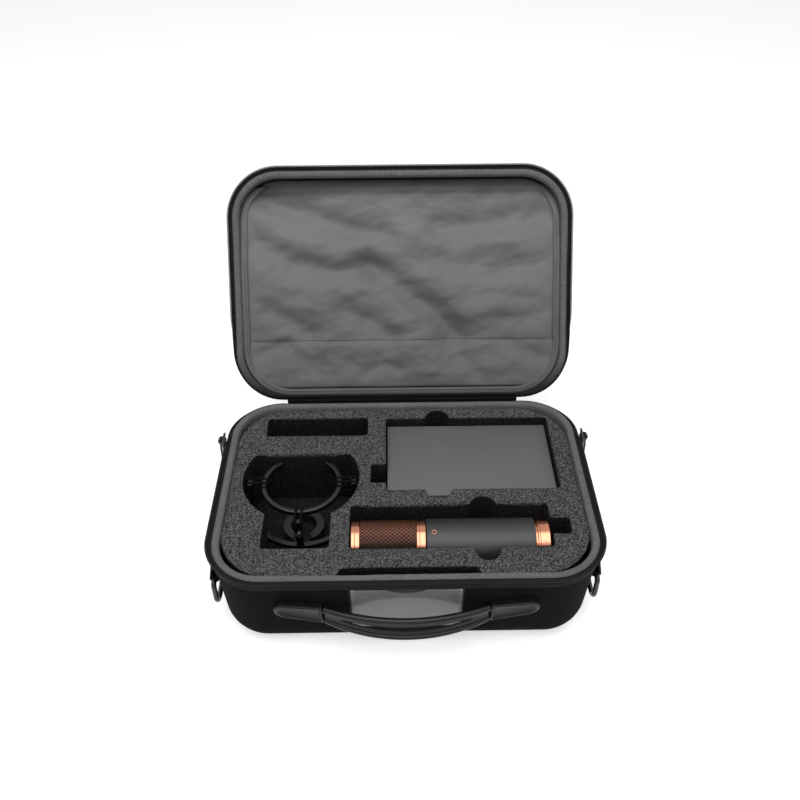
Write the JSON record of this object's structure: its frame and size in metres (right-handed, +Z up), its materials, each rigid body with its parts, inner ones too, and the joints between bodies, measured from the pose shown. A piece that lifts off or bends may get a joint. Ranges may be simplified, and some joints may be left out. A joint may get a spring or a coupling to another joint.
{
  "type": "microphone case",
  "caption": "Zip-up moulded carrying case with cloth-hinged lid, lid pocket, die-cut foam nests, bowed handle and strap rings, holding a microphone kit.",
  "frame": {"origin": "centre of the base's flat underside", "axes": "+X to the right seen from the handle, +Y back towards the lid's hinge, +Z up"},
  "size_m": [0.3326, 0.3719, 0.2752],
  "materials": {
    "shell_cloth": "moulded board covered in black ballistic cloth",
    "lining_cloth": "thin brushed lining",
    "binding_tape": "woven grey tape",
    "pocket_cloth": "slack grey nylon",
    "zip_tape": "black woven tape",
    "zip_coil": "nylon coil",
    "black_metal": "black coated metal",
    "foam": "charcoal open-cell foam",
    "card_backing": "grey backing sheet",
    "card_window": "clear sheet",
    "handle_rubber": "moulded dark rubber",
    "ring_strap": "black strap",
    "copper": "polished copper plate",
    "copper_mesh": "woven copper mesh",
    "mic_paint": "matte dark grey",
    "connector_plastic": "black insert with plated pins",
    "mount_plastic": "black moulding",
    "mount_disc": "grey coated metal",
    "elastic": "black elastic cord",
    "screw_steel": "turned steel",
    "carton_board": "smooth dark grey board"
  },
  "bodies": {
    "base": {"base_shell": "shell_cloth", "base_lining": "lining_cloth", "base_binding": "binding_tape", "base_zip_tape": "zip_tape", "base_zip_teeth": "zip_coil", "foam_floor": "foam", "foam_bed": "foam", "foam_insert": "foam", "card_backing": "card_backing", "card_window": "card_window", "handle_tab_left": "handle_rubber", "handle_tab_right": "handle_rubber", "d_ring_tab_left": "ring_strap", "d_ring_tab_right": "ring_strap", "d_ring_rivets": "black_metal", "hinge_cloth_base": "zip_tape"},
    "lid": {"lid_shell": "shell_cloth", "lid_lining": "lining_cloth", "lid_binding": "binding_tape", "lid_zip_tape": "zip_tape", "lid_zip_teeth": "zip_coil", "lid_pocket_panel": "pocket_cloth", "lid_pocket_binding": "pocket_cloth", "hinge_cloth_lid": "zip_tape"},
    "handle": {"handle_grip": "handle_rubber"},
    "ring_left": {"d_ring_left": "black_metal"},
    "ring_right": {"d_ring_right": "black_metal"},
    "slider_left": {"zip_slider_left": "black_metal"},
    "slider_right": {"zip_slider_right": "black_metal"},
    "pull_left": {"zip_pull_left": "black_metal"},
    "pull_right": {"zip_pull_right": "black_metal"},
    "microphone": {"mic_head_ring": "copper", "mic_grille": "copper_mesh", "mic_collar": "copper", "mic_body": "mic_paint", "mic_tail": "copper", "mic_connector": "connector_plastic"},
    "shock_mount": {"mount_cradle": "mount_plastic", "mount_frame": "mount_plastic", "mount_base": "mount_disc", "mount_screw": "screw_steel", "mount_elastics": "elastic"},
    "carton": {"carton_tray": "carton_board", "carton_lid": "carton_board"}
  },
  "joints": [
    {"name": "lid_hinge", "type": "hinge", "parent": "base", "child": "lid", "pos_m": [0, 0.107, 0.092], "axis": [1, 0, 0], "range_deg": [0, 122]},
    {"name": "handle_swing", "type": "hinge", "parent": "base", "child": "handle", "pos_m": [0, -0.10728, 0.05809], "axis": [-1, 0, 0], "range_deg": [0, 70]},
    {"name": "ring_left_swing", "type": "hinge", "parent": "base", "child": "ring_left", "pos_m": [-0.15743, -0.06, 0.04879], "axis": [0, 1, 0], "range_deg": [-5, 120]},
    {"name": "ring_right_swing", "type": "hinge", "parent": "base", "child": "ring_right", "pos_m": [0.15743, -0.06, 0.04879], "axis": [0, -1, 0], "range_deg": [-5, 120]},
    {"name": "slider_left_run", "type": "slide", "parent": "base", "child": "slider_left", "axis": [0, -1, 0], "range_m": [0, 0.1]},
    {"name": "slider_right_run", "type": "slide", "parent": "base", "child": "slider_right", "axis": [0, -1, 0], "range_m": [0, 0.1]},
    {"name": "pull_left_swing", "type": "hinge", "parent": "slider_left", "child": "pull_left", "pos_m": [-0.1642, 0.0525, 0.092], "axis": [0, 1, 0], "range_deg": [-8, 120]},
    {"name": "pull_right_swing", "type": "hinge", "parent": "slider_right", "child": "pull_right", "pos_m": [0.1642, 0.0525, 0.092], "axis": [0, -1, 0], "range_deg": [-8, 120]},
    {"name": "microphone_lift", "type": "slide", "parent": "base", "child": "microphone", "axis": [0, 0, -1], "range_m": [-0.1, 0]},
    {"name": "shock_mount_lift", "type": "slide", "parent": "base", "child": "shock_mount", "axis": [0, 0, -1], "range_m": [-0.1, 0]},
    {"name": "carton_lift", "type": "slide", "parent": "base", "child": "carton", "axis": [0, 0, -1], "range_m": [-0.1, 0]}
  ]
}
